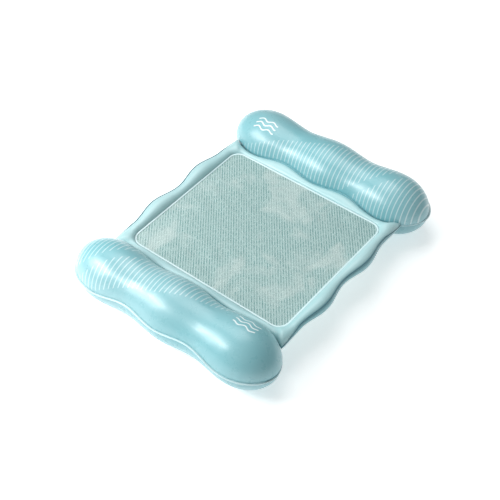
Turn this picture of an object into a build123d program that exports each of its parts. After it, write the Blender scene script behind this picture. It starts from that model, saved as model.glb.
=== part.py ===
"""Inflatable water hammock: two film pillows hinged to an inflated ring that holds a mesh seat.

Frame: +Z up, Y runs from the foot pillow to the head pillow, X runs along the pillows.
The origin is on the ground, under the middle of the float. All sizes are in millimetres.
"""

import os
from math import acos, cos, degrees, pi, radians, sin, sqrt

from build123d import *

# ---- film and welds ----
film = 0.8  # wall of every film shell; the real film is about half of this
weld_width = 6.0  # free flange all round a pillow
hinge_flange = 3.0  # flange on each side of the line where a pillow folds
hinge_gap = 0.5  # clearance between the two flanges at the fold
ring_weld_gap = 0.3  # each film of the ring stops this far from its weld line

# ---- pillows ----
pillow_half_length = 490.0
pillow_lobe_radius = 128.0
pillow_neck_radius = 113.0
pillow_lobe_pitch = 325.0
pillow_stations_per_lobe = 12
pillow_axis_y = 510.0
ground_flat = 2.0  # how deep each lobe is flattened where it rests
seam_rise = 12.0  # the weld lies this far above the axis of the pillow

# ---- mesh seat ----
opening_half_width = 380.0
opening_half_length = 340.0
opening_corner = 44.0
border_width = 8.0
border_thickness = 1.0
border_clearance = 0.6
mesh_tuck = 4.5  # how far the mesh runs under its border
mesh_gap = 0.5

# ---- inflated ring ----
side_lobe_width = 68.0
side_neck_width = 46.0
side_lobe_pitch = 280.0
side_height_ratio = 0.45  # half height of a side tube over its width
strip_height = 12.0  # half height of the strip along each pillow
side_seam_angle = 42.0  # the outer weld climbs the shoulder of a side tube
ring_stations_strip = 6
ring_stations_corner = 8
ring_stations_side = 7
ring_section_points = 10
ring_search_steps = 40
ring_flange_reach = 16.0  # how far the fold flange runs past the start of the corner

# ---- inflation valves ----
valve_x = 325.0
valve_angle = 46.0  # below the horizontal, on the outer side of a pillow
valve_disc_radius = 14.0
valve_disc_thickness = 1.2
valve_disc_clearance = 0.3
collar_radius = 8.6
collar_depth = 4.0
stem_radius = 6.0
stem_clearance = 0.1
stem_bore_radius = 4.0
stem_travel = 12.0  # from pushed in to pulled out
stem_stop_gap = 1.2  # left between the lip and the collar when the stem is pulled out
stem_lip_radius = 7.4
stem_lip_thickness = 1.2
stem_head_radius = 7.5
stem_head_thickness = 1.0
valve_proud = 0.6  # how far the stem head stands off the disc when pushed in
plug_gap = 0.3
plug_cap_radius = 6.5
plug_cap_thickness = 2.0
plug_peg_radius = 3.5
plug_peg_tip_radius = 3.2
plug_peg_length = 4.0
plug_reach = 10.5  # from the middle of the plug to the fold of its strap
strap_width = 4.0
strap_thickness = 1.0
strap_root = 9.8  # from the middle of the stem to the end of the strap's tab
flap_radius = 5.4
flap_thickness = 0.8
flap_gap = 0.3

# ---- derived values ----
pillow_end_length = pillow_half_length - pillow_lobe_pitch
seam_inset = pillow_lobe_radius - sqrt(pillow_lobe_radius**2 - seam_rise**2)
axis_z = pillow_lobe_radius - ground_flat
seam_z = axis_z + seam_rise
ring_start_x = opening_half_width + border_width
ring_start_y = opening_half_length + border_width
ring_corner = opening_corner + border_width
stem_length = valve_proud + collar_depth + stem_travel + stem_stop_gap + stem_lip_thickness


def pillow_radius(x, grow=0.0):
    """Radius of the pillow's film at x: three lobes, two necks and an elliptic round end."""
    past_lobe = abs(x) - pillow_lobe_pitch
    if past_lobe > 0:
        share = past_lobe / (pillow_end_length + grow)
        return (pillow_lobe_radius + grow) * sqrt(max(0.0, 1 - share**2))
    wave = (1 + cos(2 * pi * x / pillow_lobe_pitch)) / 2
    return pillow_neck_radius + (pillow_lobe_radius - pillow_neck_radius) * wave + grow


def side_width(y):
    """Width of a side tube at y: two lobes, a neck between them and a neck at each end."""
    if abs(y) > side_lobe_pitch:
        return side_neck_width
    wave = (1 - cos(2 * pi * y / side_lobe_pitch)) / 2
    return side_neck_width + (side_lobe_width - side_neck_width) * wave


def pillow_outline(grow):
    """Closed outline of a pillow about its own axis, moved outwards by grow."""
    last = pillow_stations_per_lobe + 1
    step = pillow_lobe_pitch / pillow_stations_per_lobe
    upper = [(step * i, pillow_radius(step * i, grow)) for i in range(-last, last + 1)]
    lower = [(x, -r) for x, r in upper]
    end = pillow_end_length + grow
    lobe = pillow_lobe_radius + grow
    turn = acos(step / end)
    rise = lobe * cos(turn) / (end * sin(turn))
    half_turn = degrees(turn)
    with BuildSketch() as outline:
        with BuildLine():
            Spline(*upper, tangents=((1, rise), (1, -rise)), tangent_scalars=(1, 1))
            Spline(*lower, tangents=((1, -rise), (1, rise)), tangent_scalars=(1, 1))
            EllipticalCenterArc(
                (pillow_lobe_pitch, 0), end, lobe, start_angle=-half_turn, arc_size=2 * half_turn
            )
            EllipticalCenterArc(
                (-pillow_lobe_pitch, 0), end, lobe, start_angle=180 - half_turn, arc_size=2 * half_turn
            )
        make_face()
    return outline.sketch


def pillow_solid(axis_y, shrink, floor_z):
    """Full solid of revolution, shrink inside the film's outer face, cut flat at floor_z."""
    side = Plane(origin=(0, axis_y, axis_z), x_dir=(1, 0, 0), z_dir=(0, -1, 0))
    quarter = 2 * pillow_half_length
    with BuildPart() as solid:
        with BuildSketch(side):
            add(pillow_outline(-shrink))
            Rectangle(quarter, quarter, align=(Align.MAX, Align.MIN), mode=Mode.INTERSECT)
        revolve(axis=Axis((0, axis_y, axis_z), (1, 0, 0)))
        split(bisect_by=Plane.XY.offset(floor_z), keep=Keep.TOP)
        mirror(about=Plane.YZ)
    return solid.part


def valve_plane(axis_y, side):
    """Local frame of a pillow's valve: z points out of the film, x runs along the pillow."""
    depth = sqrt(pillow_lobe_radius**2 - valve_disc_radius**2)
    out = Vector(0, side * cos(radians(valve_angle)), -sin(radians(valve_angle)))
    origin = Vector(side * valve_x, axis_y, axis_z) + out * depth
    return Plane(origin=origin, x_dir=(side, 0, 0), z_dir=out)


def pillow_flange(side):
    """Weld flange outline: wide on the outside, narrow where the seat ring meets it."""
    with BuildSketch() as flange:
        add(pillow_outline(weld_width - seam_inset))
        with Locations((0, side * pillow_lobe_radius)):
            Rectangle(3 * pillow_half_length, 2 * pillow_lobe_radius, mode=Mode.INTERSECT)
        add(pillow_outline(hinge_flange - seam_inset))
    return flange.sketch


def pillow_panel(label, axis_y, side, keep):
    """One film panel of a pillow, with its half of the weld and the hole for the valve disc."""
    thickness = film if keep == Keep.TOP else -film
    valve = valve_plane(axis_y, side)
    with BuildPart() as panel:
        add(pillow_solid(axis_y, 0, 0))
        split(bisect_by=Plane.XY.offset(seam_z), keep=keep)
        with BuildSketch(Plane((0, axis_y, seam_z))):
            add(pillow_flange(side))
        extrude(amount=thickness)
        add(pillow_solid(axis_y, film, film), mode=Mode.SUBTRACT)
        with BuildSketch(valve.offset(-valve_disc_radius)):
            Circle(valve_disc_radius + valve_disc_clearance)
        extrude(amount=2 * valve_disc_radius, mode=Mode.SUBTRACT)
    panel.part.label = label
    return panel.part


def ring_edge_y(x):
    """Where the ring's film starts beside the head pillow, in from the fold."""
    half_width = sqrt(max(0.0, pillow_radius(x) ** 2 - seam_rise**2))
    return pillow_axis_y - half_width - 2 * hinge_flange - hinge_gap


def ring_reach(x, y, angle):
    """Distance from (x, y) along the angle to the outside of the ring, in the corner of +X and +Y."""
    low, high = 0.0, 2 * side_lobe_width + ring_corner
    for _ in range(ring_search_steps):
        middle = (low + high) / 2
        px = x + middle * cos(angle)
        py = y + middle * sin(angle)
        inside = px < ring_start_x + side_width(py) and py < ring_edge_y(px)
        low, high = (middle, high) if inside else (low, middle)
    return low


def ring_stations():
    """Stations round one quarter: start point, outward angle, width, half height, seam angle."""
    corner_x = ring_start_x - ring_corner
    corner_y = ring_start_y - ring_corner
    stations = []
    for i in range(ring_stations_strip):
        x = corner_x * i / ring_stations_strip
        stations.append((x, ring_start_y, pi / 2, 0.0))
    for i in range(ring_stations_corner + 1):
        share = i / ring_stations_corner
        angle = pi / 2 * (1 - share)
        stations.append((corner_x + ring_corner * cos(angle), corner_y + ring_corner * sin(angle), angle, share))
    for i in range(1, ring_stations_side + 1):
        stations.append((ring_start_x, corner_y * (1 - i / ring_stations_side), 0.0, 1.0))
    full = []
    for x, y, angle, share in stations:
        width = ring_reach(x, y, angle)
        height = strip_height * (1 - share) + side_height_ratio * width * share
        full.append((x, y, angle, width, height, radians(side_seam_angle) * share**2))
    return full


def ring_section(station, top):
    """Thin curved strip of film across the ring, from its inner weld to its outer weld."""
    x, y, angle, width, height, seam = station
    first, last = (seam, pi) if top else (pi, 2 * pi + seam)
    level = seam_z + ring_weld_gap if top else seam_z - ring_weld_gap
    turns = [first + (last - first) * i / ring_section_points for i in range(ring_section_points + 1)]
    half = width / 2
    outer = [(half + half * cos(t), height * sin(t)) for t in turns]
    inner = [(half + (half - film) * cos(t), (height - film) * sin(t)) for t in turns]
    across = Plane(origin=(x, y, level), x_dir=(cos(angle), sin(angle), 0), z_dir=(sin(angle), -cos(angle), 0))
    with BuildSketch(across) as section:
        with BuildLine():
            Spline(*outer)
            Line(outer[-1], inner[-1])
            Spline(*inner)
            Line(inner[0], outer[0])
        make_face()
    return section.sketch


def rounded_opening(grow):
    """Outline of the mesh opening, moved outwards by grow."""
    with BuildSketch() as opening:
        width = 2 * (opening_half_width + grow)
        length = 2 * (opening_half_length + grow)
        RectangleRounded(width, length, opening_corner + grow)
    return opening.sketch


def fold_flange():
    """Flange of the ring beside the head pillow, up to the clearance at the fold."""
    reach = ring_start_x - ring_corner + ring_flange_reach
    count = 2 * pillow_stations_per_lobe
    xs = [reach * (2 * i / count - 1) for i in range(count + 1)]
    near = [(x, ring_edge_y(x) - film / 2) for x in xs]
    far = [(x, ring_edge_y(x) + hinge_flange) for x in xs]
    with BuildSketch() as flange:
        with BuildLine():
            Spline(*near)
            Line(near[-1], far[-1])
            Spline(*far)
            Line(far[0], near[0])
        make_face()
    return flange.sketch


def frame_panel(label, top):
    """Top or bottom film of the inflated ring, with its weld flanges."""
    thickness = film if top else -film
    with BuildPart() as panel:
        loft(sections=[ring_section(station, top) for station in ring_stations()])
        mirror(about=Plane.YZ)
        mirror(about=Plane.XZ)
        with BuildSketch(Plane.XY.offset(seam_z)):
            add(rounded_opening(border_width + film / 2))
            add(rounded_opening(mesh_tuck + mesh_gap), mode=Mode.SUBTRACT)
        extrude(amount=thickness)
        with BuildSketch(Plane.XY.offset(seam_z)):
            add(fold_flange())
            mirror(fold_flange(), about=Plane.XZ)
        extrude(amount=thickness)
        if not top:
            with BuildSketch(frame_valve_plane().offset(-valve_disc_radius)):
                Circle(valve_disc_radius + valve_disc_clearance)
            extrude(amount=2 * valve_disc_radius, mode=Mode.SUBTRACT)
    panel.part.label = label
    return panel.part


def frame_valve_plane():
    """Local frame of the ring's valve, under the lobe of a side tube."""
    y = side_lobe_pitch / 2
    half = side_width(y) / 2
    height = side_height_ratio * side_width(y)
    depth = height * sqrt(1 - (valve_disc_radius / half) ** 2)
    return Plane(origin=(-(ring_start_x + half), y, seam_z - depth), x_dir=(0, 1, 0), z_dir=(0, 0, -1))


def mesh_panel():
    """Seat mesh with its edge tucked under the border strips."""
    with BuildPart() as mesh:
        with BuildSketch(Plane.XY.offset(seam_z - film)):
            add(rounded_opening(mesh_tuck))
        extrude(amount=2 * film)
    mesh.part.label = "mesh_panel"
    return mesh.part


def mesh_border(label, top):
    """Raised film strip that welds the edge of the mesh to the ring, on one face."""
    start = seam_z + film if top else seam_z - film
    with BuildPart() as border:
        with BuildSketch(Plane.XY.offset(start)):
            add(rounded_opening(border_width - border_clearance))
            add(rounded_opening(0), mode=Mode.SUBTRACT)
        extrude(amount=border_thickness if top else -border_thickness)
    border.part.label = label
    return border.part


def valve_seat(label, valve):
    """Disc welded into the film, with the short collar that guides the stem."""
    with BuildPart() as seat:
        with BuildSketch(valve.offset(-valve_disc_thickness)):
            Circle(valve_disc_radius)
        extrude(amount=valve_disc_thickness)
        with BuildSketch(valve.offset(-collar_depth)):
            Circle(collar_radius)
        extrude(amount=collar_depth)
        with BuildSketch(valve.offset(-collar_depth)):
            Circle(stem_radius + stem_clearance)
        extrude(amount=collar_depth, mode=Mode.SUBTRACT)
    seat.part.label = label
    return seat.part


def valve_stem(label, valve):
    """Tube that pushes in flush, with a head outside, a stop lip inside and a bore for air."""
    bottom = valve_proud - stem_length
    with BuildPart() as stem:
        with BuildSketch(valve.offset(bottom)):
            Circle(stem_radius)
        extrude(amount=stem_length)
        with BuildSketch(valve.offset(bottom)):
            Circle(stem_lip_radius)
        extrude(amount=stem_lip_thickness)
        with BuildSketch(valve.offset(valve_proud)):
            Circle(stem_head_radius)
            with Locations((strap_root / 2, 0)):
                Rectangle(strap_root, strap_width)
        extrude(amount=stem_head_thickness)
        with BuildSketch(valve.offset(bottom)):
            Circle(stem_bore_radius)
        extrude(amount=stem_length + stem_head_thickness, mode=Mode.SUBTRACT)
    stem.part.label = label
    return stem.part


def valve_plug(label, valve):
    """Stopper with its cap, tapered peg and the strap that folds beside the stem's head."""
    cap_start = valve_proud + stem_head_thickness + plug_gap
    with BuildPart() as plug:
        with BuildSketch(valve.offset(cap_start)):
            Circle(plug_cap_radius)
        extrude(amount=plug_cap_thickness)
        with BuildSketch(valve.offset(cap_start)):
            with Locations((plug_reach / 2, 0)):
                Rectangle(plug_reach, strap_width)
        extrude(amount=strap_thickness)
        with BuildSketch(valve.offset(cap_start)):
            Circle(plug_peg_radius)
        with BuildSketch(valve.offset(cap_start - plug_peg_length)):
            Circle(plug_peg_tip_radius)
        loft()
    plug.part.label = label
    return plug.part


def valve_flap(label, valve):
    """Thin disc that closes the inner end of the bore and folds inwards to let air in."""
    top = valve_proud - stem_length - flap_gap
    with BuildPart() as flap:
        with BuildSketch(valve.offset(top)):
            Circle(flap_radius)
        extrude(amount=-flap_thickness)
    flap.part.label = label
    return flap.part


def valve_pieces(name, valve):
    """All four pieces of one inflation valve."""
    return [
        valve_seat(f"{name}_valve_seat", valve),
        valve_stem(f"{name}_valve_stem", valve),
        valve_plug(f"{name}_valve_plug", valve),
        valve_flap(f"{name}_valve_flap", valve),
    ]


def main():
    """Build every piece and write one STEP file for each."""
    pieces = []
    for name, side in (("head", 1), ("foot", -1)):
        axis_y = side * pillow_axis_y
        pieces.append(pillow_panel(f"{name}_pillow_top", axis_y, side, Keep.TOP))
        pieces.append(pillow_panel(f"{name}_pillow_bottom", axis_y, side, Keep.BOTTOM))
        pieces += valve_pieces(name, valve_plane(axis_y, side))
    pieces.append(frame_panel("frame_top", True))
    pieces.append(frame_panel("frame_bottom", False))
    pieces.append(mesh_panel())
    pieces.append(mesh_border("mesh_border_top", True))
    pieces.append(mesh_border("mesh_border_bottom", False))
    pieces += valve_pieces("frame", frame_valve_plane())
    os.makedirs("parts", exist_ok=True)
    for piece in pieces:
        export_step(piece, f"parts/{piece.label}.step")


main()
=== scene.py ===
"""Looks of the inflatable water hammock: film skins, welds, printed stripes, seat mesh and studio.

Metres, in the frame of the CAD model: +Z up, the pillows lie along X, the head pillow is at +Y.
"""

from math import cos, pi, radians, sin

import bpy
import numpy as np
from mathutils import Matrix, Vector


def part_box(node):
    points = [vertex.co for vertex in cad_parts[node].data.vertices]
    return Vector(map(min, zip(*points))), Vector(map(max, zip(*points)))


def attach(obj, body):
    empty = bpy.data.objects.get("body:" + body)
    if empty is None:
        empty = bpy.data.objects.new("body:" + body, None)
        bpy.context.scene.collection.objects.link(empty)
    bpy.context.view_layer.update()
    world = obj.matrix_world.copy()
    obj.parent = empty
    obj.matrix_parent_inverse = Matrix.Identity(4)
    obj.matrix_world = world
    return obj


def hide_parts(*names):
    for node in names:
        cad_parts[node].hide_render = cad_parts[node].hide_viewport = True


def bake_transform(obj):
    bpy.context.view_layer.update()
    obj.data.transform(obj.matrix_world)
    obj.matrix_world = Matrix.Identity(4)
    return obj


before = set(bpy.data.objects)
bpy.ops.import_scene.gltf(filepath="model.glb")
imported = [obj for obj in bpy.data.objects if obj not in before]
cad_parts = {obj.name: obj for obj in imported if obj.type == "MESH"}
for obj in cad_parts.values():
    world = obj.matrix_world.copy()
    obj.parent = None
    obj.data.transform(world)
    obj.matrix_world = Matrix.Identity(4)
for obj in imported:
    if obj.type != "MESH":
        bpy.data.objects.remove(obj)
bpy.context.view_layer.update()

# ---- shape of the film, as in the CAD model ----
LOBE_RADIUS = 0.128
NECK_RADIUS = 0.113
LOBE_PITCH = 0.325
END_LENGTH = 0.165
SEAM_RISE = 0.012
WELD_WIDTH = 0.006
FOLD_FLANGE = 0.003
FOLD_GAP = 0.0005
SIDE_LOBE_WIDTH = 0.068
SIDE_NECK_WIDTH = 0.046
SIDE_PITCH = 0.280
SIDE_HEIGHT_RATIO = 0.45
STRIP_HEIGHT = 0.012
SIDE_SEAM_ANGLE = radians(42)

SEAM_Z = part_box("head_pillow_top")[0].z
AXIS_Z = SEAM_Z - SEAM_RISE
SEAM_HALF = (LOBE_RADIUS**2 - SEAM_RISE**2) ** 0.5
AXIS_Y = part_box("head_pillow_bottom")[1].y - WELD_WIDTH - SEAM_HALF
SEAT_HALF_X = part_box("mesh_panel")[1].x
SEAT_HALF_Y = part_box("mesh_panel")[1].y
BORDER_HALF_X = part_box("mesh_border_top")[1].x
BORDER_HALF_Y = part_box("mesh_border_top")[1].y
RING_X = BORDER_HALF_X + 0.0006
RING_Y = BORDER_HALF_Y + 0.0006
RING_CORNER = 0.052

# ---- print and net, distances between repeats ----
STRIPE_SPACING = 0.019
MARK_WAVELENGTH = 0.051
HOLE_SPACING = 0.0026
RIB_SPACING = 0.0105

# ---- where the camera stands ----
CAMERA_AZIMUTH = radians(38.32)
CAMERA_ELEVATION = radians(46.74)
CAMERA_DISTANCE = 4.258
CAMERA_LENS = 74.5


# ---- small tools ----
def coords(piece):
    flat = np.zeros(len(piece.data.vertices) * 3)
    piece.data.vertices.foreach_get("co", flat)
    return flat.reshape(-1, 3)


def move_to(piece, points):
    piece.data.vertices.foreach_set("co", np.asarray(points, float).ravel())
    piece.data.update()


def vertex_normals(piece):
    flat = np.zeros(len(piece.data.vertices) * 3)
    piece.data.vertex_normals.foreach_get("vector", flat)
    return flat.reshape(-1, 3)


def start(name):
    piece = bpy.context.object
    piece.name = name
    piece.data.name = name
    bpy.ops.object.shade_smooth()
    return piece


def ripple(s, shortest, longest, seed):
    """Uneven wave along s, from -1 to 1, made of seven wavelengths."""
    rng = np.random.default_rng(seed)
    total = np.zeros_like(s)
    for wavelength in np.geomspace(shortest, longest, 7):
        total += np.sin(2 * pi * s / wavelength + rng.uniform(0, 2 * pi))
    return total / 3.6


def fade(value, low, high):
    t = np.clip((value - low) / (high - low), 0, 1)
    return t * t * (3 - 2 * t)


def valve_recess(points, node):
    """Depth of the film's recess round a valve, so that its disc stands clear of the film."""
    low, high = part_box(node)
    from_valve = np.linalg.norm(points - np.array((low + high) / 2), axis=1)
    hollow = -0.0034 * (1 - fade(from_valve, 0.013, 0.020))
    return hollow + 0.0012 * np.exp(-(((from_valve - 0.0215) / 0.003) ** 2))


# ---- pillow form ----
def pillow_radius(x):
    past = np.clip((np.abs(x) - LOBE_PITCH) / END_LENGTH, 0, 1)
    wave = (1 + np.cos(2 * pi * x / LOBE_PITCH)) / 2
    straight = NECK_RADIUS + (LOBE_RADIUS - NECK_RADIUS) * wave
    return np.where(past > 0, LOBE_RADIUS * np.sqrt(np.maximum(0, 1 - past**2)), straight)


def seam_lift(x):
    """Height of the weld over the axis: low on the lobes and high at the necks."""
    inside = np.clip(np.abs(x), 0, LOBE_PITCH)
    along = 0.0075 + 0.0065 * np.cos(pi * inside / LOBE_PITCH)
    neck = 0.0155 * (1 - np.cos(2 * pi * inside / LOBE_PITCH)) / 2
    return (along + neck) * np.clip(pillow_radius(x) / 0.05, 0, 1)


def along_pillow(turn):
    """Place along the axis for a turn of 0 to pi, spread evenly over the film's outline."""
    end_share = 0.2077
    share = np.asarray(turn) / pi
    mirrored = np.minimum(share, 1 - share)
    cap = LOBE_PITCH + END_LENGTH * np.cos(np.clip(mirrored / end_share, 0, 1) * pi / 2)
    straight = LOBE_PITCH * (0.5 - mirrored) / (0.5 - end_share)
    x = np.where(mirrored < end_share, cap, straight)
    return np.where(share > 0.5, -x, x)


def seam_angle(x):
    radius = np.maximum(pillow_radius(x), 1e-6)
    return np.arcsin(np.clip(seam_lift(x) / radius, -0.9, 0.9))


def pillow_skin(name, side):
    """One closed skin: the upper film down to the weld, the lower film under it."""
    bpy.ops.mesh.primitive_uv_sphere_add(segments=200, ring_count=300, radius=1)
    skin = start(name)
    ball = coords(skin)
    turn = np.arccos(np.clip(ball[:, 2], -1, 1))
    girth = np.arctan2(ball[:, 1], ball[:, 0]) % (2 * pi)
    x = along_pillow(turn)
    radius = pillow_radius(x)
    angle = girth + seam_angle(x) * np.cos(girth)
    level = radius * np.sin(angle)
    move_to(skin, np.column_stack([x, side * AXIS_Y + radius * np.cos(angle), AXIS_Z + level]))

    from_seam = np.minimum(np.minimum(girth, np.abs(girth - pi)), 2 * pi - girth) * radius
    outline = turn * 1.112 / pi
    front = np.cos(girth) > 0
    pucker = np.where(front, ripple(outline, 0.017, 0.075, 3 + side), ripple(outline, 0.017, 0.075, 8 + side))
    creases = np.clip(0.35 + 0.65 * pucker, 0, 1) ** 1.5
    roundness = 0.35 + 0.65 * np.abs(np.cos(pi * x / LOBE_PITCH)) + 1.1 * fade(np.abs(x), 0.33, 0.44)
    reach = 0.016 + 0.012 * fade(np.abs(x), 0.30, 0.44)
    lower = np.where(girth > pi, 0.55, 0.6)
    away = fade(radius, 0.02, 0.06)
    depth = -0.0015 * creases * roundness * lower * np.exp(-from_seam / reach) * away
    depth -= 0.0014 * np.exp(-((from_seam / 0.007) ** 2)) * away
    waves = ripple(x + 0.35 * girth * radius, 0.07, 0.33, 21 + side) * ripple(girth + 2.1 * x, 0.9, 2.9, 31)
    depth += 0.0006 * waves * away
    tension = np.exp(-((np.abs(np.abs(x) - LOBE_PITCH / 2) / 0.024) ** 2))
    depth -= 0.0007 * tension * (0.5 + 0.5 * ripple(girth * NECK_RADIUS, 0.03, 0.13, 41 + side))
    depth += valve_recess(coords(skin), ("head" if side > 0 else "foot") + "_valve_seat")
    points = coords(skin) + vertex_normals(skin) * depth[:, None]
    points[:, 2] = np.maximum(points[:, 2], 0.0004 + 0.0002 * ripple(points[:, 0], 0.02, 0.09, 51))
    move_to(skin, points)

    # the print is laid out from the outer weld: u along the pillow, v round the upper film
    print_map = skin.data.uv_layers.new(name="print") if not skin.data.uv_layers else skin.data.uv_layers[0]
    print_map.name = "print"
    corner_vertex = np.zeros(len(skin.data.loops), int)
    skin.data.loops.foreach_get("vertex_index", corner_vertex)
    from_outer = girth / pi if side > 0 else 1 - girth / pi
    uv = np.column_stack([-side * x, from_outer])[corner_vertex]
    print_map.data.foreach_set("uv", uv.ravel())

    # the lower film gets the deeper teal copy of the vinyl: painted shade on the underside
    skin.data.materials.append(printed_film)
    skin.data.materials.append(painted_shade_film)
    height = np.sin(girth)
    for face in skin.data.polygons:
        middle = sum(height[v] for v in face.vertices)
        face.material_index = 0 if middle > 0 else 1
    return skin


def pillow_weld(name, side):
    """Flat welded rim with a rounded bead, all round the pillow."""
    bpy.ops.mesh.primitive_torus_add(major_segments=560, minor_segments=16, major_radius=1, minor_radius=0.25)
    rim = start(name)
    ring = coords(rim)
    round_turn = np.arctan2(ring[:, 1], ring[:, 0]) % (2 * pi)
    cross = np.arctan2(ring[:, 2], np.hypot(ring[:, 0], ring[:, 1]) - 1)

    def seam_point(turn):
        turn = turn % (2 * pi)
        x = along_pillow(np.minimum(turn, 2 * pi - turn))
        away = np.sign(pi - turn) * pillow_radius(x) * np.cos(seam_angle(x))
        return np.column_stack([x, away, seam_lift(x)])

    here = seam_point(round_turn)
    step = seam_point(round_turn + 0.004) - seam_point(round_turn - 0.004)
    out = np.column_stack([step[:, 1], -step[:, 0]])
    out /= np.linalg.norm(out, axis=1)[:, None]
    outer = fade(side * here[:, 1], -0.05, 0.03)
    width = 0.0004 + (WELD_WIDTH / 2 + 0.0005) * outer
    bulge = 0.0011 + 0.0007 * np.clip(np.cos(cross), 0, 1) ** 2
    wobble = 0.0006 * ripple(round_turn, 0.05, 0.31, 61 + side)
    reach = width * 0.75 + width * np.cos(cross)
    x = here[:, 0] + out[:, 0] * reach
    y = side * AXIS_Y + here[:, 1] + out[:, 1] * reach
    z = AXIS_Z + here[:, 2] + bulge * np.sin(cross) + wobble * fade(reach, 0, 0.006)
    move_to(rim, np.column_stack([x, y, z]))
    rim.data.materials.append(weld_film)
    return rim


# ---- seat ring form ----
def side_width(y):
    wave = (1 - np.cos(2 * pi * y / SIDE_PITCH)) / 2
    lobed = SIDE_NECK_WIDTH + (SIDE_LOBE_WIDTH - SIDE_NECK_WIDTH) * wave
    return np.where(np.abs(y) > SIDE_PITCH, SIDE_NECK_WIDTH, lobed)


def ring_edge(x):
    """Where the ring's film ends beside a pillow."""
    half = np.sqrt(np.maximum(0, pillow_radius(x) ** 2 - SEAM_RISE**2))
    return AXIS_Y - half - 2 * FOLD_FLANGE - FOLD_GAP


def ring_stations(turn):
    """Start, direction, width and corner share of the section at each turn round the seat."""
    turn = turn % (2 * pi)
    sign_x = np.where((turn > pi / 2) & (turn < 3 * pi / 2), -1.0, 1.0)
    sign_y = np.where(turn > pi, -1.0, 1.0)
    quarter = np.abs(((turn + pi) % pi) / (pi / 2))
    share = np.where(quarter > 1, 2 - quarter, quarter)
    corner_x, corner_y = RING_X - RING_CORNER, RING_Y - RING_CORNER
    side_part, corner_part = 0.40, 0.24
    along_side = np.clip(share / side_part, 0, 1)
    along_corner = np.clip((share - side_part) / corner_part, 0, 1)
    along_strip = np.clip((share - side_part - corner_part) / (1 - side_part - corner_part), 0, 1)
    heading = along_corner * pi / 2
    x = np.where(share < side_part, RING_X, corner_x + RING_CORNER * np.cos(heading))
    x = np.where(along_strip > 0, corner_x * (1 - along_strip), x)
    y = np.where(share < side_part, corner_y * along_side, corner_y + RING_CORNER * np.sin(heading))
    low = np.zeros_like(x)
    high = np.full_like(x, 2 * SIDE_LOBE_WIDTH + RING_CORNER)
    for _ in range(32):
        middle = (low + high) / 2
        px = x + middle * np.cos(heading)
        py = y + middle * np.sin(heading)
        inside = (px < RING_X + side_width(py)) & (py < ring_edge(px))
        low = np.where(inside, middle, low)
        high = np.where(inside, high, middle)
    return sign_x, sign_y, x, y, heading, low, 1 - along_corner


def ring_place(turn, cross, lift=0.0):
    """Point on the ring's film, cross = 0 on the outer weld and pi on the inner weld."""
    sign_x, sign_y, x, y, heading, width, side_share = ring_stations(turn)
    height = STRIP_HEIGHT * (1 - side_share) + SIDE_HEIGHT_RATIO * width * side_share
    seam = SIDE_SEAM_ANGLE * side_share**2
    angle = cross + seam * np.cos(cross / 2) ** 2
    reach = width / 2 + (width / 2 + lift) * np.cos(angle)
    far_x = x + width * np.cos(heading)
    follow = (AXIS_Z + seam_lift(far_x) - SEAM_Z) * (1 - side_share) * (1 + np.cos(cross)) / 2
    level = SEAM_Z + (height + lift) * np.sin(angle) + follow
    return np.column_stack([
        sign_x * (x + reach * np.cos(heading)),
        sign_y * (y + reach * np.sin(heading)),
        level,
    ]), side_share, width


def ring_skin(name):
    """The inflated ring round the seat as one closed skin of two films."""
    bpy.ops.mesh.primitive_torus_add(major_segments=720, minor_segments=56, major_radius=1, minor_radius=0.25)
    skin = start(name)
    ring = coords(skin)
    turn = np.arctan2(ring[:, 1], ring[:, 0]) % (2 * pi)
    cross = np.arctan2(ring[:, 2], np.hypot(ring[:, 0], ring[:, 1]) - 1) % (2 * pi)
    points, side_share, width = ring_place(turn, cross)
    move_to(skin, points)
    near_outer = np.minimum(cross, 2 * pi - cross) * width / 2
    near_inner = np.abs(cross - pi) * width / 2
    loop = turn * 0.47
    outer_creases = np.clip(0.2 + 0.8 * ripple(loop, 0.009, 0.05, 71), 0, 1) ** 1.5
    inner_creases = np.clip(0.2 + 0.8 * ripple(loop, 0.011, 0.06, 73), 0, 1) ** 1.5
    strength = 0.35 + 0.65 * side_share
    depth = -0.0013 * strength * outer_creases * np.exp(-near_outer / 0.010)
    depth -= 0.0010 * strength * inner_creases * np.exp(-near_inner / 0.009)
    depth -= 0.0008 * np.exp(-((near_outer / 0.004) ** 2)) * strength
    depth += 0.0004 * ripple(loop + 0.03 * cross, 0.05, 0.21, 75) * np.sin(cross / 2) ** 2
    depth += valve_recess(points, "frame_valve_seat")
    move_to(skin, points + vertex_normals(skin) * depth[:, None])
    # the ring's lower film gets the deeper teal copy of the vinyl: painted shade on the underside
    skin.data.materials.append(ring_film)
    skin.data.materials.append(painted_shade_film)
    height = np.sin(cross)
    for face in skin.data.polygons:
        middle = sum(height[v] for v in face.vertices)
        face.material_index = 0 if middle > 0 else 1
    return skin


def ring_weld(name):
    """Thin welded lip on the outer shoulder of the side tubes."""
    bpy.ops.mesh.primitive_torus_add(major_segments=720, minor_segments=10, major_radius=1, minor_radius=0.25)
    lip = start(name)
    ring = coords(lip)
    turn = np.arctan2(ring[:, 1], ring[:, 0]) % (2 * pi)
    cross = np.arctan2(ring[:, 2], np.hypot(ring[:, 0], ring[:, 1]) - 1)
    zero = np.zeros_like(turn)
    base, side_share, _ = ring_place(turn, zero)
    raised, _, _ = ring_place(turn, zero, lift=0.001)
    beside, _, _ = ring_place(turn, zero + 0.02)
    out = raised - base
    out /= np.linalg.norm(out, axis=1)[:, None]
    along = beside - base
    along /= np.linalg.norm(along, axis=1)[:, None]
    # next to the pillows the fold web covers the lip, so it stays low there
    tall = 0.0003 + 0.0017 * np.sqrt(side_share)
    thick = 0.0008 + 0.0028 * np.sqrt(side_share)
    points = base + out * (tall * (0.35 + np.cos(cross)))[:, None] + along * (thick * np.sin(cross))[:, None]
    move_to(lip, points)
    lip.data.materials.append(weld_line_and_groove_shade_film)
    return lip


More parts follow.
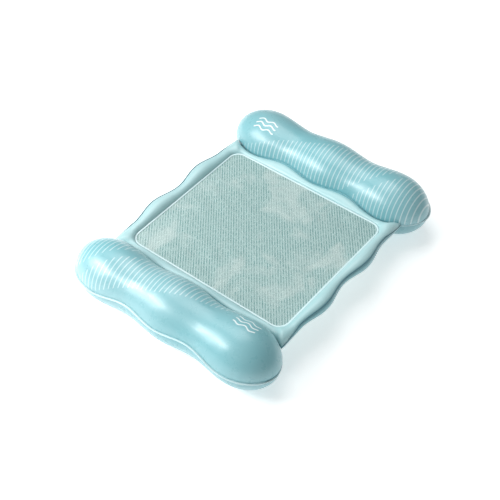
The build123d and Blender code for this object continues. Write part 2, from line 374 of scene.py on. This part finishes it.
def fold_web(name, side):
    """Flat welded web between the ring and a pillow."""
    bpy.ops.mesh.primitive_grid_add(x_subdivisions=260, y_subdivisions=6, size=2)
    web = start(name)
    flat = coords(web)
    x = flat[:, 0] * 0.408
    share = (flat[:, 1] + 1) / 2
    near = ring_edge(x) - 0.0012
    far = AXIS_Y - pillow_radius(x) * np.cos(seam_angle(x)) + 0.0012
    y = near + (far - near) * share
    z = AXIS_Z + seam_lift(x) + 0.0003 * ripple(x, 0.01, 0.05, 81) * np.sin(pi * share)
    move_to(web, np.column_stack([x, side * y, z]))
    if side < 0:
        bpy.ops.object.mode_set(mode="EDIT")
        bpy.ops.mesh.select_all(action="SELECT")
        bpy.ops.mesh.flip_normals()
        bpy.ops.object.mode_set(mode="OBJECT")
    thicken(web, 0.0016)
    # the web gets the deeper teal copy of the vinyl: painted shade in the crevice between ring and pillow
    web.data.materials.append(painted_shade_film)
    final = coords(web)
    near = ring_edge(final[:, 0])
    far = AXIS_Y - pillow_radius(final[:, 0]) * np.cos(seam_angle(final[:, 0]))
    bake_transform(web)
    # the fold line waves with the lobes, so each point is weighed between its own two edges
    return web


# ---- seat mesh and its border ----
def thicken(piece, thickness):
    solid = piece.modifiers.new("thickness", "SOLIDIFY")
    solid.thickness = thickness
    solid.offset = 0
    bpy.ops.object.modifier_apply(modifier=solid.name)


def seat_mesh(name):
    """The net, stretched in its border, with a slight sag and a few tension waves."""
    bpy.ops.mesh.primitive_grid_add(x_subdivisions=210, y_subdivisions=190, size=2)
    net = start(name)
    flat = coords(net)
    corner = RING_CORNER - 0.0035
    x = flat[:, 0] * SEAT_HALF_X
    y = flat[:, 1] * SEAT_HALF_Y
    dx = np.maximum(0, np.abs(x) - (SEAT_HALF_X - corner))
    dy = np.maximum(0, np.abs(y) - (SEAT_HALF_Y - corner))
    square = np.maximum(dx, dy) / np.maximum(np.hypot(dx, dy), 1e-9)
    square = np.where((dx > 0) & (dy > 0), square, 1)
    x = np.sign(x) * (np.abs(x) - dx + dx * square)
    y = np.sign(y) * (np.abs(y) - dy + dy * square)
    u, v = flat[:, 0], flat[:, 1]
    free = (1 - u**2) * (1 - v**2)
    edge = np.minimum(SEAT_HALF_X - np.abs(x), SEAT_HALF_Y - np.abs(y))
    sag = -0.007 * free
    waves = 0.0022 * ripple(x * 0.8 + y * 0.6, 0.09, 0.31, 91) * ripple(x * 0.5 - y * 0.9, 0.12, 0.43, 93)
    gather = 0.0005 * ripple(x - y, 0.02, 0.06, 95) * np.exp(-edge / 0.035)
    z = SEAM_Z + sag + (waves + gather) * fade(edge, 0.006, 0.06)
    move_to(net, np.column_stack([x, y, z]))
    thicken(net, 0.0012)
    net.data.materials.append(mesh_net)
    return net


def border_strip(name, side):
    """Raised film strip over the edge of the net; side is 1 on top and -1 below."""
    bpy.ops.mesh.primitive_torus_add(major_segments=520, minor_segments=18, major_radius=1, minor_radius=0.25)
    strip = start(name)
    ring = coords(strip)
    turn = np.arctan2(ring[:, 1], ring[:, 0]) % (2 * pi)
    cross = np.arctan2(ring[:, 2], np.hypot(ring[:, 0], ring[:, 1]) - 1)
    sign_x, sign_y, x, y, heading, _, _ = ring_stations(turn)
    half = 0.0044
    reach = -half + 0.0001 + half * np.cos(cross)
    rise = 0.0017 * np.sign(np.sin(cross)) * np.abs(np.sin(cross)) ** 0.8
    level = SEAM_Z + side * 0.0012 + rise + 0.0002 * ripple(turn * 0.47, 0.01, 0.08, 97)
    px = sign_x * (x + reach * np.cos(heading))
    py = sign_y * (y + reach * np.sin(heading))
    move_to(strip, np.column_stack([px, py, level]))
    strip.data.materials.append(border_film)
    # the outermost faces take the dark weld-line film: painted shade in the groove between the border and the ring
    strip.data.materials.append(weld_line_and_groove_shade_film)
    outermost = np.cos(cross)
    for face in strip.data.polygons:
        face.material_index = 1 if sum(outermost[v] for v in face.vertices) > 2.6 else 0
    return strip


# ---- materials ----
def srgb(code):
    """Linear colour of an sRGB hex code."""
    parts = [int(code[i : i + 2], 16) / 255 for i in (1, 3, 5)]
    return tuple(c / 12.92 if c <= 0.04045 else ((c + 0.055) / 1.055) ** 2.4 for c in parts) + (1.0,)


def node(tree, kind, inputs=None, **settings):
    """Adds a node, sets it up, joins or fills its inputs and gives back its first output."""
    made = tree.nodes.new(kind)
    for key, value in settings.items():
        setattr(made, key, value)
    for key, value in (inputs or {}).items():
        if isinstance(value, bpy.types.NodeSocket):
            tree.links.new(value, made.inputs[key])
        else:
            made.inputs[key].default_value = value
    return made.outputs[0]


def maths(tree, operation, a, b=0.0, clamp=False):
    return node(tree, "ShaderNodeMath", {0: a, 1: b}, operation=operation, use_clamp=clamp)


def step_between(tree, value, low, high):
    """Smooth step from 0 at low to 1 at high."""
    made = {"Value": value, "From Min": low, "From Max": high, "To Min": 0.0, "To Max": 1.0}
    return node(tree, "ShaderNodeMapRange", made, interpolation_type="SMOOTHSTEP")


def blend_colours(tree, share, first, second):
    made = {0: share, 6: first, 7: second}
    socket = node(tree, "ShaderNodeMix", made, data_type="RGBA").node
    return socket.outputs[2]


def object_point(tree):
    return node(tree, "ShaderNodeTexCoord").node.outputs["Object"]


def new_material(name):
    material = bpy.data.materials.new(name)
    material.use_nodes = True
    return material, material.node_tree, material.node_tree.nodes["Principled BSDF"]


def film_surface(tree, shader, colour, roughness=0.28):
    """Soft vinyl: slow tint changes, handling haze and a faint orange peel in the gloss."""
    point = object_point(tree)
    slow = node(tree, "ShaderNodeTexNoise", {"Vector": point, "Scale": 3.2, "Detail": 3.0})
    haze = node(tree, "ShaderNodeTexNoise", {"Vector": point, "Scale": 28.0, "Detail": 5.0, "Roughness": 0.62})
    peel = node(tree, "ShaderNodeTexNoise", {"Vector": point, "Scale": 120.0, "Detail": 2.0})
    tint = node(tree, "ShaderNodeHueSaturation", {
        "Saturation": step_scale(tree, slow, 0.90, 1.12),
        "Value": step_scale(tree, slow, 1.03, 0.97),
        "Color": colour,
    })
    tree.links.new(tint, shader.inputs["Base Color"])
    tree.links.new(step_scale(tree, haze, roughness - 0.03, roughness + 0.05), shader.inputs["Roughness"])
    bump = node(tree, "ShaderNodeBump", {"Strength": 0.10, "Distance": 0.0003, "Height": peel})
    wide = node(tree, "ShaderNodeBump", {"Strength": 0.12, "Distance": 0.004, "Height": slow, "Normal": bump})
    tree.links.new(wide, shader.inputs["Normal"])
    shader.inputs["IOR"].default_value = 1.53
    shader.inputs["Coat Weight"].default_value = 0.85
    shader.inputs["Coat IOR"].default_value = 1.75
    shader.inputs["Coat Roughness"].default_value = 0.62
    shader.inputs["Sheen Weight"].default_value = 0.10
    shader.inputs["Sheen Roughness"].default_value = 0.55


def step_scale(tree, value, low, high):
    made = {"Value": value, "From Min": 0.3, "From Max": 0.7, "To Min": low, "To Max": high}
    return node(tree, "ShaderNodeMapRange", made)


def make_plain_film(name, code, roughness=0.28):
    """Tinted vinyl film without print: pale teal, glossy, a little uneven."""
    material, tree, shader = new_material(name)
    colour = node(tree, "ShaderNodeRGB")
    colour.default_value = srgb(code)
    film_surface(tree, shader, colour, roughness)
    return material


def make_printed_film(name):
    """The upper film of a pillow: white print of stripes in two leaves and a small wave mark."""
    material, tree, shader = new_material(name)
    layout = node(tree, "ShaderNodeUVMap", uv_map="print")
    parts = node(tree, "ShaderNodeSeparateXYZ", {0: layout}).node
    along, round_film = parts.outputs[0], parts.outputs[1]
    angle = maths(tree, "MULTIPLY", round_film, 180.0)

    # stripes about a fifth as wide as their spacing, leaning a little round the pillow
    lean = maths(tree, "MULTIPLY", round_film, 0.55)
    count = maths(tree, "ADD", maths(tree, "DIVIDE", along, STRIPE_SPACING), lean)
    wave = maths(tree, "SINE", maths(tree, "MULTIPLY", count, 2 * pi))
    stripes = step_between(tree, wave, 0.68, 0.88)

    # the plain band climbs from the outer weld to the inner one, between the two leaves
    band = maths(tree, "ADD", maths(tree, "MULTIPLY", along, 600.0), 267.0)
    over = maths(tree, "SUBTRACT", angle, band)
    first_leaf = step_between(tree, over, 13.0, 16.0)
    second_start = step_between(tree, maths(tree, "MULTIPLY", over, -1.0), 13.0, 16.0)
    lower_edge = maths(tree, "ADD", maths(tree, "MULTIPLY", along, 233.0), 76.0)
    past_lower_edge = step_between(tree, maths(tree, "SUBTRACT", angle, lower_edge), 0.0, 3.0)
    second_leaf = maths(tree, "MULTIPLY", second_start, past_lower_edge)
    leaves = maths(tree, "MAXIMUM", first_leaf, second_leaf)
    rim = step_between(tree, maths(tree, "MINIMUM", angle, maths(tree, "SUBTRACT", 180.0, angle)), 3.0, 6.0)
    printed = maths(tree, "MULTIPLY", maths(tree, "MULTIPLY", stripes, leaves), rim)

    # three short waves as the mark, near the far end of the same film
    sway = maths(tree, "MULTIPLY", maths(tree, "SINE", maths(tree, "MULTIPLY", along, 2 * pi / MARK_WAVELENGTH)), 2.4)
    rows = maths(tree, "SUBTRACT", angle, sway)
    row_wave = maths(tree, "PINGPONG", maths(tree, "SUBTRACT", rows, 101.0), 5.0)
    row_line = step_between(tree, row_wave, 1.7, 1.1)
    from_mark_row = maths(tree, "ABSOLUTE", maths(tree, "SUBTRACT", rows, 111.0))
    row_range = maths(tree, "LESS_THAN", from_mark_row, 12.0)
    from_mark = maths(tree, "ABSOLUTE", maths(tree, "SUBTRACT", along, 0.315))
    mark_range = maths(tree, "LESS_THAN", from_mark, MARK_WAVELENGTH)
    mark = maths(tree, "MULTIPLY", maths(tree, "MULTIPLY", row_line, row_range), mark_range)

    stripe_ink = maths(tree, "MULTIPLY", printed, 0.42)
    ink = maths(tree, "MAXIMUM", stripe_ink, maths(tree, "MULTIPLY", mark, 0.9))
    colour = blend_colours(tree, ink, srgb(FILM_PALE), srgb("#f2fbfb"))
    film_surface(tree, shader, colour)
    return material


def make_net(name):
    """Polyester net: open knit set at a slant, faint ribs, pale patches of painted light."""
    material, tree, shader = new_material(name)
    point = object_point(tree)
    turned = node(tree, "ShaderNodeMapping", {"Vector": point, "Rotation": (0.0, 0.0, radians(-38.3))})
    parts = node(tree, "ShaderNodeSeparateXYZ", {0: turned}).node
    across, length = parts.outputs[0], parts.outputs[1]
    # holes this far apart are coarser than the real knit, so that it shows
    rows = maths(tree, "ABSOLUTE", maths(tree, "SINE", maths(tree, "MULTIPLY", across, pi / HOLE_SPACING)))
    long_way = maths(tree, "SINE", maths(tree, "MULTIPLY", length, pi / (1.4 * HOLE_SPACING)))
    columns = maths(tree, "ABSOLUTE", long_way)
    hole = maths(tree, "MULTIPLY", rows, columns)
    yarn = step_between(tree, hole, 0.80, 0.62)
    rib = maths(tree, "SINE", maths(tree, "MULTIPLY", across, 2 * pi / RIB_SPACING))
    rib = step_between(tree, rib, -1.0, 1.0)
    fine = node(tree, "ShaderNodeTexNoise", {"Vector": point, "Scale": 420.0, "Detail": 2.0})
    # pale patches of painted light: pools of light and reflections seen through the net, painted into the thread
    # colour
    light_patch_noise = node(tree, "ShaderNodeTexNoise", {
        "Vector": point, "Scale": 5.5, "Detail": 6.0, "Roughness": 0.60, "Distortion": 0.8,
    })
    mottle = node(tree, "ShaderNodeTexNoise", {"Vector": point, "Scale": 60.0, "Detail": 4.0, "Roughness": 0.7})
    base = blend_colours(tree, rib, srgb("#6b9f9d"), srgb("#c8e1de"))
    base = blend_colours(tree, step_between(tree, mottle, 0.42, 0.66), base, srgb("#b5d3cf"))
    painted_light_patch = maths(tree, "MULTIPLY", step_between(tree, light_patch_noise, 0.50, 0.68), 0.55)
    base = blend_colours(tree, painted_light_patch, base, srgb("#dbe9e4"))
    shaded = maths(tree, "MULTIPLY", step_between(tree, fine, 0.35, 0.65), 0.35)
    thread = blend_colours(tree, shaded, base, srgb("#557f82"))
    tree.links.new(thread, shader.inputs["Base Color"])
    tree.links.new(yarn, shader.inputs["Alpha"])
    raised = maths(tree, "SUBTRACT", 1.0, hole)
    bump = node(tree, "ShaderNodeBump", {"Strength": 0.5, "Distance": 0.0006, "Height": raised})
    tree.links.new(bump, shader.inputs["Normal"])
    shader.inputs["Roughness"].default_value = 0.62
    shader.inputs["Sheen Weight"].default_value = 0.25
    return material


def make_vinyl_part(name, code, roughness):
    """Moulded valve vinyl: cloudy, with a slight grain."""
    material, tree, shader = new_material(name)
    point = object_point(tree)
    cloud = node(tree, "ShaderNodeTexNoise", {"Vector": point, "Scale": 160.0, "Detail": 3.0})
    colour = blend_colours(tree, cloud, srgb(code), srgb("#f1f8f8"))
    tree.links.new(colour, shader.inputs["Base Color"])
    bump = node(tree, "ShaderNodeBump", {"Strength": 0.15, "Distance": 0.0003, "Height": cloud})
    tree.links.new(bump, shader.inputs["Normal"])
    shader.inputs["Roughness"].default_value = roughness
    shader.inputs["Subsurface Weight"].default_value = 0.2
    shader.inputs["Subsurface Radius"].default_value = (0.004, 0.005, 0.005)
    return material


FILM_PALE = "#79b5bd"
# upper pillow film: pale teal under broad soft gloss, broken by the white printed stripes
printed_film = make_printed_film("printed_vinyl_film")
# lower film of pillows and ring, and the fold webs: the same vinyl a tone deeper, as painted shade,
# so undersides and the creases beside the pillows read darker
painted_shade_film = make_plain_film("teal_vinyl_painted_shade", "#68a9b2")
# upper film of the ring: the palest, satin, so the tubes frame the seat without hard highlights
ring_film = make_plain_film("pale_vinyl_film", "#abd4d7", 0.34)
# heat-welded rim: two layers fused, whiter and shinier, a light line round each pillow
weld_film = make_plain_film("welded_rim", "#cfe9ec", 0.2)
# pressed weld of the ring: film seen edge-on, a thin dark teal line along the shoulder of the tubes
# the same dark film also serves as painted shade in the groove between the net border and the ring
weld_line_and_groove_shade_film = make_plain_film("ring_weld_line_and_groove_shade", "#34737f", 0.3)
# strip welded over the edge of the net: near-white and glossy, the brightest edge of the seat
border_film = make_plain_film("border_vinyl", "#cfe9eb", 0.2)
# knitted polyester: matt and grey-green, diagonal ribs, open holes that show the floor, pale patches of painted light
mesh_net = make_net("polyester_net")
# moulded valve body: hard clear vinyl, glassy against the film
valve_clear = make_vinyl_part("clear_valve_vinyl", "#cfe3e6", 0.22)
# valve plug and flap: softer, milky vinyl with a duller shine
valve_soft = make_vinyl_part("soft_valve_vinyl", "#e3eeee", 0.38)

# ---- pieces ----
for body, side in (("head_pillow", 1), ("foot_pillow", -1)):
    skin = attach(pillow_skin(body + "_skin", side), body)
    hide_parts(body + "_top", body + "_bottom")
    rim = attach(pillow_weld(body + "_weld_rim", side), body)
    web = fold_web(body + "_fold_web", side)

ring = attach(ring_skin("seat_ring_skin"), "seat_frame")
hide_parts("frame_top", "frame_bottom")
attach(ring_weld("seat_ring_weld_lip"), "seat_frame")

upper_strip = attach(border_strip("net_border_upper", 1), "seat_frame")
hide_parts("mesh_border_top")
lower_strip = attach(border_strip("net_border_lower", -1), "seat_frame")
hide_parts("mesh_border_bottom")

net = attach(seat_mesh("seat_net"), "seat_frame")
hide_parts("mesh_panel")

for name in ("head", "foot", "frame"):
    for part, look in (("seat", valve_clear), ("stem", valve_clear), ("plug", valve_soft), ("flap", valve_soft)):
        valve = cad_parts[f"{name}_valve_{part}"]
        valve.data.materials.clear()
        valve.data.materials.append(look)

# ---- studio ----
bpy.ops.mesh.primitive_plane_add(size=80, location=(0, 0, 0))
floor = start("studio_floor")
floor_material, floor_tree, floor_shader = new_material("pale_floor")
speck = node(floor_tree, "ShaderNodeTexNoise", {"Vector": object_point(floor_tree), "Scale": 2.0})
floor_colour = blend_colours(floor_tree, speck, srgb("#fafbfb"), srgb("#fdfefe"))
floor_tree.links.new(floor_colour, floor_shader.inputs["Base Color"])
floor_shader.inputs["Roughness"].default_value = 0.9
floor_tree.links.new(floor_colour, floor_shader.inputs["Emission Color"])
floor_shader.inputs["Emission Strength"].default_value = 0.46
floor.data.materials.append(floor_material)

world = bpy.data.worlds.new("studio_air")
bpy.context.scene.world = world
world.use_nodes = True
world.node_tree.nodes["Background"].inputs["Color"].default_value = (0.97, 0.99, 1.0, 1.0)
world.node_tree.nodes["Background"].inputs["Strength"].default_value = 0.31


def softbox(name, place, aim, power, width, height):
    """Rectangular light, its long side along X where it can be."""
    bpy.ops.object.light_add(type="AREA", location=place)
    lamp = bpy.context.object
    lamp.name = name
    lamp.data.shape = "RECTANGLE"
    lamp.data.size = width
    lamp.data.size_y = height
    lamp.data.energy = power
    lamp.rotation_euler = (Vector(aim) - Vector(place)).to_track_quat("-Z", "Y").to_euler()
    return lamp


softbox("key_strip", (-1.45, -1.9, 1.9), (-0.1, 0, 0.1), 24, 1.4, 0.22)
softbox("left_fill", (-2.3, -2.3, 2.3), (0, 0.1, 0.1), 92, 2.2, 2.2)
softbox("overhead", (-1.0, 0.7, 3.3), (0, 0.2, 0), 56, 2.4, 2.4)

azimuth, elevation = CAMERA_AZIMUTH, CAMERA_ELEVATION
back = Vector((sin(azimuth) * cos(elevation), -cos(azimuth) * cos(elevation), sin(elevation)))
right = Vector((cos(azimuth), sin(azimuth), 0))
up = back.cross(right)
aim = Vector((0, 0, 0.1)) - 0.0298 * right - 0.0405 * up
bpy.ops.object.camera_add(location=aim + CAMERA_DISTANCE * back)
camera = bpy.context.object
camera.name = "viewing_camera"
camera.rotation_euler = back.to_track_quat("Z", "Y").to_euler()
camera.data.lens = CAMERA_LENS
camera.data.dof.use_dof = False
bpy.context.scene.camera = camera
bpy.context.scene.view_settings.view_transform = "Standard"
